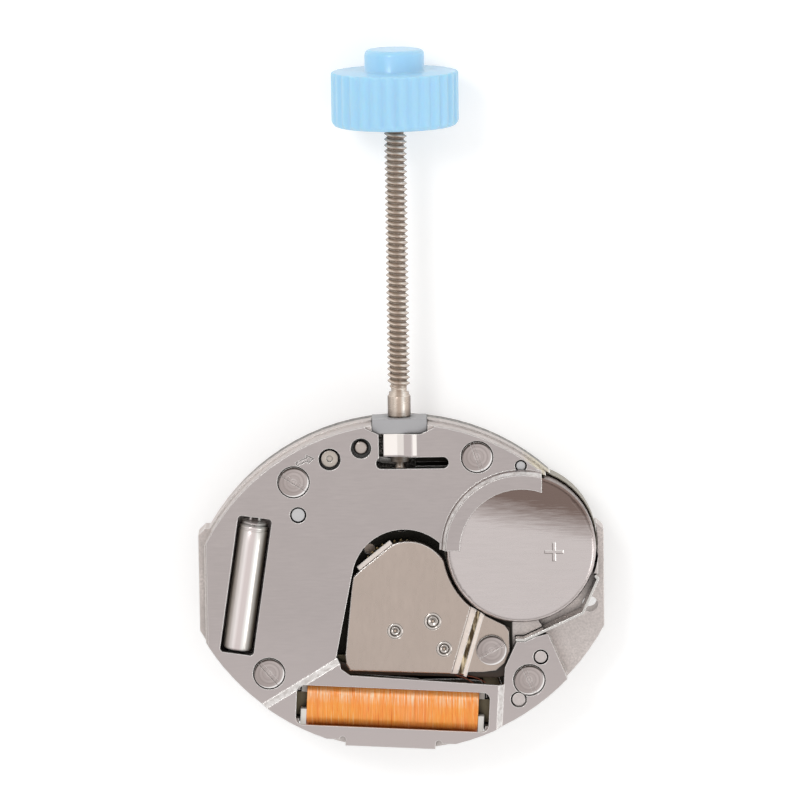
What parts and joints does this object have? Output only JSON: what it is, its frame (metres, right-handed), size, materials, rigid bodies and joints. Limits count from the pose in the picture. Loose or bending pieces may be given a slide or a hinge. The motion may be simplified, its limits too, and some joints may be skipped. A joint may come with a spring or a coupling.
{
  "type": "quartz watch movement",
  "caption": "Small oval two-hand quartz watch movement with coin cell, coil, crystal, train bridge, and a long threaded winding stem ending in a fluted plastic setting knob.",
  "frame": {"origin": "on the hand axis, in the flat face that the dial rests on", "axes": "+Z from the dial side to the battery side, +Y along the winding stem towards the setting knob, +X to the right as seen from the battery side"},
  "size_m": [0.0156, 0.0268, 0.005],
  "materials": {
    "plate_metal": "satin nickel plate",
    "cover_metal": "satin nickel plate",
    "bridge_metal": "satin nickel plate",
    "screw_steel": "satin",
    "battery_steel": "polished",
    "crystal_steel": "polished",
    "stem_steel": "satin",
    "spring_steel": "satin",
    "wheel_brass": "satin",
    "washer_foil": "satin",
    "copper_winding": "enamelled copper wire",
    "core_iron": "matt",
    "magnet": "matt",
    "white_plastic": "matt",
    "seal_plastic": "matt",
    "board": "amber film",
    "chip": "gloss",
    "ruby": "polished",
    "knob_plastic": "satin"
  },
  "bodies": {
    "movement": {"main_plate": "plate_metal", "dial_side_cover": "plate_metal", "dial_cover_screws": "screw_steel", "cover_dowel": "white_plastic", "centre_tube": "stem_steel", "setting_wheel_post": "stem_steel", "minute_wheel_post": "stem_steel", "circuit_board": "board", "ic_chip": "chip", "insulator_frame": "white_plastic", "corner_spacer": "white_plastic", "quartz_can": "crystal_steel", "quartz_leads": "crystal_steel", "coil_core": "core_iron", "coil_bobbin": "white_plastic", "coil_winding": "copper_winding", "stator": "core_iron", "train_bridge": "bridge_metal", "pivot_bushes": "wheel_brass", "pivot_jewel": "ruby", "cover_screws": "screw_steel", "bridge_screw": "screw_steel", "battery_can": "battery_steel", "battery_cap": "battery_steel", "battery_gasket": "seal_plastic", "battery_insulator": "seal_plastic", "negative_contact": "spring_steel", "positive_contact": "spring_steel", "cover_plate": "cover_metal", "stem_guide": "white_plastic", "spring_post": "stem_steel", "yoke_spring": "spring_steel"},
    "release_post": {"release_post": "stem_steel"},
    "setting_lever": {"setting_lever": "spring_steel"},
    "yoke": {"yoke": "spring_steel"},
    "sliding_pinion": {"sliding_pinion": "stem_steel"},
    "stem": {"stem": "stem_steel", "setting_knob": "knob_plastic"},
    "centre": {"centre_wheel": "wheel_brass", "centre_arbor": "stem_steel", "cannon_pinion": "wheel_brass"},
    "third": {"third_wheel": "wheel_brass", "third_pinion": "stem_steel"},
    "intermediate": {"intermediate_wheel": "wheel_brass", "intermediate_pinion": "stem_steel"},
    "rotor": {"rotor_magnet": "magnet", "rotor_pinion": "stem_steel"},
    "minute_train": {"minute_wheel": "wheel_brass", "minute_pinion": "wheel_brass"},
    "hour": {"hour_wheel": "wheel_brass", "hour_wheel_washer": "washer_foil"},
    "setting_wheel": {"setting_wheel": "stem_steel"}
  },
  "joints": [
    {"name": "yoke_slide", "type": "slide", "parent": "movement", "child": "yoke", "axis": [0, 1, 0], "range_m": [-0.00025, 0]},
    {"name": "crown_spin", "type": "hinge", "parent": "yoke", "child": "sliding_pinion", "pos_m": [0, 0.0035, 0.00115], "axis": [0, 1, 0], "continuous": true},
    {"name": "stem_pull", "type": "slide", "parent": "sliding_pinion", "child": "stem", "axis": [0, 1, 0], "range_m": [0, 0.00105]},
    {"name": "release_push", "type": "slide", "parent": "movement", "child": "release_post", "axis": [0, 0, -1], "range_m": [0, 0.00022], "stiffness_N_per_m": 100},
    {"name": "lever_swing", "type": "hinge", "parent": "release_post", "child": "setting_lever", "pos_m": [-0.00267, 0.00489, 0.00057], "axis": [0, 0, 1], "range_deg": [0, 17.23]},
    {"name": "centre_spin", "type": "hinge", "parent": "movement", "child": "centre", "pos_m": [0, 0, 0.0011], "axis": [0, 0, 1], "continuous": true},
    {"name": "third_spin", "type": "hinge", "parent": "movement", "child": "third", "pos_m": [-0.00027, -0.00182, 0.0013], "axis": [0, 0, 1], "continuous": true},
    {"name": "intermediate_spin", "type": "hinge", "parent": "movement", "child": "intermediate", "pos_m": [0.00117, -0.00146, 0.0013], "axis": [0, 0, 1], "continuous": true},
    {"name": "rotor_spin", "type": "hinge", "parent": "movement", "child": "rotor", "pos_m": [0.00159, -0.00254, 0.0011], "axis": [0, 0, 1], "continuous": true},
    {"name": "minute_wheel_spin", "type": "hinge", "parent": "movement", "child": "minute_train", "pos_m": [-0.0012, 0.0012, 0.0004], "axis": [0, 0, 1], "continuous": true},
    {"name": "hour_wheel_spin", "type": "hinge", "parent": "movement", "child": "hour", "pos_m": [0, 0, 0.0002], "axis": [0, 0, 1], "continuous": true},
    {"name": "setting_wheel_spin", "type": "hinge", "parent": "movement", "child": "setting_wheel", "pos_m": [0, 0.0024, 0.0006], "axis": [0, 0, 1], "continuous": true}
  ],
  "couplings": [
    {"joint": "yoke_slide", "follows": "stem_pull", "ratio": -0.2381},
    {"joint": "lever_swing", "follows": "stem_pull", "rad_per_m": 286.44},
    {"joint": "third_spin", "follows": "centre_spin", "ratio": -5},
    {"joint": "intermediate_spin", "follows": "centre_spin", "ratio": 20},
    {"joint": "rotor_spin", "follows": "centre_spin", "ratio": -90},
    {"joint": "minute_wheel_spin", "follows": "centre_spin", "ratio": -0.33333},
    {"joint": "hour_wheel_spin", "follows": "centre_spin", "ratio": 0.083333},
    {"joint": "setting_wheel_spin", "follows": "centre_spin", "ratio": 1}
  ]
}
